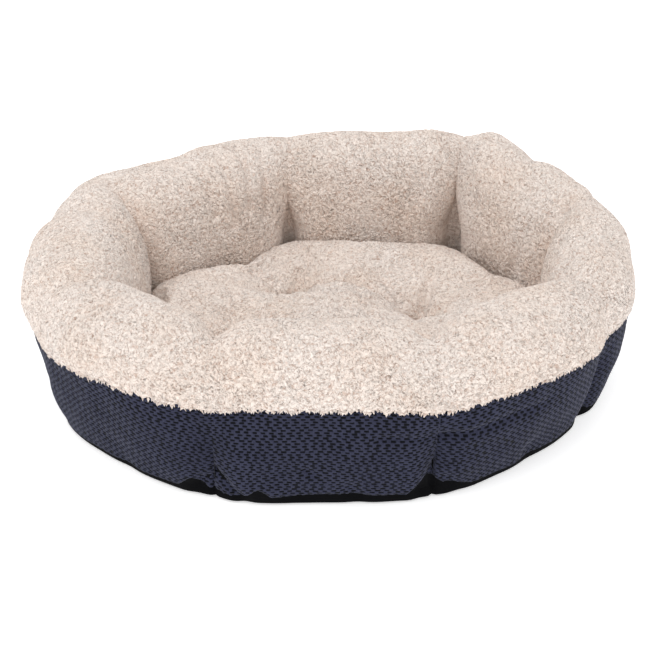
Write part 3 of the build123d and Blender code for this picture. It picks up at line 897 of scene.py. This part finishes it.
def inside_nest(rings, room):
    """The rings with each point moved in, where need be, to stand clear of the nest's wall by room."""
    ring = np.arange(0, 8, 1 / 100)
    wall = wall_ring(ring, CUSHION_LINE, relief(ring, np.array([CUSHION_LINE]))[0] + room)
    angle = np.arctan2(wall[:, 1], wall[:, 0])
    order = np.argsort(angle)
    reach = np.hypot(rings[..., 0], rings[..., 1])
    limit = np.interp(np.arctan2(rings[..., 1], rings[..., 0]), angle[order], np.hypot(wall[:, 0], wall[:, 1])[order],
                      period=math.tau)
    moved = rings.copy()
    moved[..., :2] *= np.minimum(1, limit / np.maximum(reach, 1e-6))[..., None]
    return moved


def add_cushion():
    """The loose cushion: its fleece top, its plain underside, the filling in them, and the thread that holds them.

    The blown-up cage is made finer twice. The creases and then the curled pile are taken along its normals.
    """
    settings = bpy.context.scene.pet_bed
    cage, top_rows = cushion_cage()
    blown = blow_up(cage, top_rows)
    shape = finer(finer(calm_middle(inside_nest(blown, 0.6))))
    out = normals(shape)
    seam_row = int(4 * (top_rows + 4))
    form = 1.2 * soft_noise(shape, 30.0, 51)
    for start, end, width, depth in CUSHION_FOLDS:
        form -= depth * fold_valley(shape[..., 0], shape[..., 1], start, end, width)
    fade = np.clip((shape[..., 2] - CUSHION_SEAM) / 8, 0, 1)
    form *= fade
    rough = curled_pile(shape + out * form[..., None])
    rough *= np.clip((seam_row - np.arange(len(shape))) / 4, 0, 1)[:, None]
    skin = shape + out * (form + settings.pile_height * rough)[..., None]
    back = shape + out * (form - 4.0)[..., None]
    top = np.concatenate([skin[:seam_row + 1], back[seam_row::-4]])
    # The pile attribute darkens the fleece's colour in the pits between the curls: painted shade.
    heights = np.concatenate([rough[:seam_row + 1], np.zeros(back[seam_row::-4].shape[:2])])
    piece = disc_piece("cushion_cover_top", top, [("pile", heights)])
    finish_piece(piece, "cushion", "sherpa_fleece", "cushion_top")
    under = np.concatenate([(shape - out)[-1:seam_row:-2], skin[seam_row + 1::2]])
    piece = disc_piece("cushion_cover_bottom", under)
    finish_piece(piece, "cushion", "plain_cloth", "cushion_bottom")
    piece = disc_piece("cushion_filling", (shape + out * (form - 6.0)[..., None])[::4, ::4])
    finish_piece(piece, "cushion", "polyester_fibre", "cushion_fill")
    ring_stitches("cushion_stitches", skin[seam_row] + out[seam_row] * 0.1, 3.0, 1.0, 0.6, "cushion",
                  "cushion_seam_thread")
    add_tuft_ties(skin[:seam_row])


def add_tuft_ties(skin):
    """Thread through the cushion at each tuft: two crossed stitches in its dimple, and the tie down to the underside."""
    centres, directions, lengths = [], [], []
    for x, y in tuft_places():
        distance = np.hypot(skin[..., 0] - x, skin[..., 1] - y)
        height = float(skin[..., 2][distance < 4].mean()) + 0.4
        for angle in (0.4, 0.4 + math.pi / 2):
            centres.append((x, y, height))
            directions.append((math.cos(angle), math.sin(angle), 0))
            lengths.append(8.0)
        centres.append((x, y, (height + CUSHION_FLOOR) / 2))
        directions.append((0, 0, 1))
        lengths.append(height - CUSHION_FLOOR - 0.4)
    stitches("tuft_thread", np.array(centres, float), np.array(directions, float), lengths, 1.5, "cushion", "tuft_ties")


class PetBedSettings(bpy.types.PropertyGroup):
    """Sizes and colours of the fleece and the knit."""

    pile_height: FloatProperty(name="Pile height", description="Reach of the fleece's curls from its middle, in mm",
                               default=1.5, min=0, max=3)
    slit_length: FloatProperty(name="Slit length", description="Length of one slit of the knit, in mm", default=3.9,
                               min=1, max=8)
    slit_gap: FloatProperty(name="Slit gap", description="Bar between two slits of a row, in mm", default=2.9,
                            min=1, max=8)
    row_height: FloatProperty(name="Row height", description="From one row of slits to the next, in mm", default=2.5,
                              min=1, max=5)
    bar_height: FloatProperty(name="Bar height", description="Bar between two rows of slits, in mm", default=0.75,
                              min=0.2, max=3)
    fleece_colour: FloatVectorProperty(name="Fleece", description="Colour of the curls' tips", subtype="COLOR", size=4,
                                       default=linear("#F8ECE3"), min=0, max=1)
    # Painted shade: the colour that the fleece is darkened to in the pits between its curls.
    pit_shade_colour: FloatVectorProperty(name="Pits", description="Colour between the curls", subtype="COLOR", size=4,
                                    default=linear("#BF9F8D"), min=0, max=1)
    knit_colour: FloatVectorProperty(name="Knit", description="Colour of the knit's bars", subtype="COLOR", size=4,
                                     default=linear("#45485E"), min=0, max=1)
    # Painted shade: the near-black colour put in the knit's slits.
    slit_shade_colour: FloatVectorProperty(name="Slits", description="Colour in the knit's slits", subtype="COLOR", size=4,
                                     default=linear("#05060D"), min=0, max=1)


class PETBED_OT_stuffing(bpy.types.Operator):
    """Make the stuffing of the wall's pockets and the dividers between them"""

    bl_idname = "petbed.stuffing"
    bl_label = "Stuffing and dividers"

    def execute(self, context):
        for number in range(8):
            add_wall_fill(number)
            add_divider(number)
        return {"FINISHED"}


class PETBED_OT_lining(bpy.types.Operator):
    """Make the fleece lining of the wall, and the curls along its lower edge"""

    bl_idname = "petbed.lining"
    bl_label = "Fleece lining"

    def execute(self, context):
        for number in range(8):
            add_lining(number)
        add_fringe()
        return {"FINISHED"}


class PETBED_OT_outer_panels(bpy.types.Operator):
    """Make the knitted outer panels"""

    bl_idname = "petbed.outer_panels"
    bl_label = "Knitted panels"

    def execute(self, context):
        for number in range(8):
            add_outer_panel(number)
        return {"FINISHED"}


class PETBED_OT_base(bpy.types.Operator):
    """Make the base cloth, the floor's lining and the wall's sewing"""

    bl_idname = "petbed.base"
    bl_label = "Base and sewing"

    def execute(self, context):
        add_base()
        add_floor_lining()
        add_seam_threads()
        return {"FINISHED"}


class PETBED_OT_cushion(bpy.types.Operator):
    """Make the loose cushion"""

    bl_idname = "petbed.cushion"
    bl_label = "Cushion"

    def execute(self, context):
        add_cushion()
        return {"FINISHED"}


class PETBED_OT_stage(bpy.types.Operator):
    """Make the floor, the lights and the camera"""

    bl_idname = "petbed.stage"
    bl_label = "Stage"

    def execute(self, context):
        scene = context.scene
        bpy.ops.mesh.primitive_plane_add(size=12, location=(0, 0, -0.0006))
        floor = context.object
        floor.name = "floor"
        paper, _, shader = new_material("pale_paper")
        shader.inputs["Base Color"].default_value = linear("#FAFAFA")
        set_sockets(shader, Roughness=1.0, Emission_Color=(1, 1, 1, 1), Emission_Strength=0.5)
        floor.data.materials.append(paper)
        world = bpy.data.worlds.new("studio")
        world.use_nodes = True
        background = world.node_tree.nodes["Background"]
        background.inputs["Color"].default_value = (1, 1, 1, 1)
        background.inputs["Strength"].default_value = 0.9
        scene.world = world
        for name, place, power, size in (("softbox_above_left", (-0.8, -0.7, 2.8), 31, 2.4),
                                         ("softbox_front_right", (1.8, -2.0, 1.8), 3, 2.0)):
            lamp = bpy.data.lights.new(name, "AREA")
            lamp.energy, lamp.size = power, size
            light = bpy.data.objects.new(name, lamp)
            light.location = place
            light.rotation_euler = aim(-np.array(place))
            scene.collection.objects.link(light)
        data = bpy.data.cameras.new("camera")
        data.sensor_width, data.lens = 36, 89.94
        camera = bpy.data.objects.new("camera", data)
        rise, distance, target = math.radians(27.0), 1.4, 0.08
        camera.location = (-0.0026, -distance * math.cos(rise), target + distance * math.sin(rise))
        tilt = rise + math.atan(39.5 / 1614)
        camera.rotation_euler = (math.pi / 2 - tilt, 0, 0)
        scene.collection.objects.link(camera)
        scene.camera = camera
        scene.view_settings.view_transform = "Standard"
        return {"FINISHED"}


def aim(direction):
    """Euler angles that point an object's -Z along direction."""
    x, y, z = direction
    return (math.atan2(math.hypot(x, y), -z), 0, math.atan2(y, x) - math.pi / 2)


class PETBED_PT_panel(bpy.types.Panel):
    """The bed's settings and the steps that make it"""

    bl_idname = "PETBED_PT_panel"
    bl_label = "Pet bed"
    bl_space_type = "VIEW_3D"
    bl_region_type = "UI"
    bl_category = "Pet Bed"

    def draw(self, context):
        settings = context.scene.pet_bed
        for name in settings.__annotations__:
            self.layout.prop(settings, name)
        for step in STEPS:
            self.layout.operator(step.bl_idname)


STEPS = (PETBED_OT_stage, PETBED_OT_stuffing, PETBED_OT_lining, PETBED_OT_outer_panels, PETBED_OT_base,
         PETBED_OT_cushion)
CLASSES = (PetBedSettings, PETBED_PT_panel) + STEPS


def register():
    for item in CLASSES:
        bpy.utils.register_class(item)
    bpy.types.Scene.pet_bed = PointerProperty(type=PetBedSettings)


def unregister():
    del bpy.types.Scene.pet_bed
    for item in reversed(CLASSES):
        bpy.utils.unregister_class(item)


def main():
    register()
    bpy.ops.petbed.stage()
    bpy.ops.petbed.stuffing()
    bpy.ops.petbed.lining()
    bpy.ops.petbed.outer_panels()
    bpy.ops.petbed.base()
    bpy.ops.petbed.cushion()


if __name__ == "__main__":
    main()
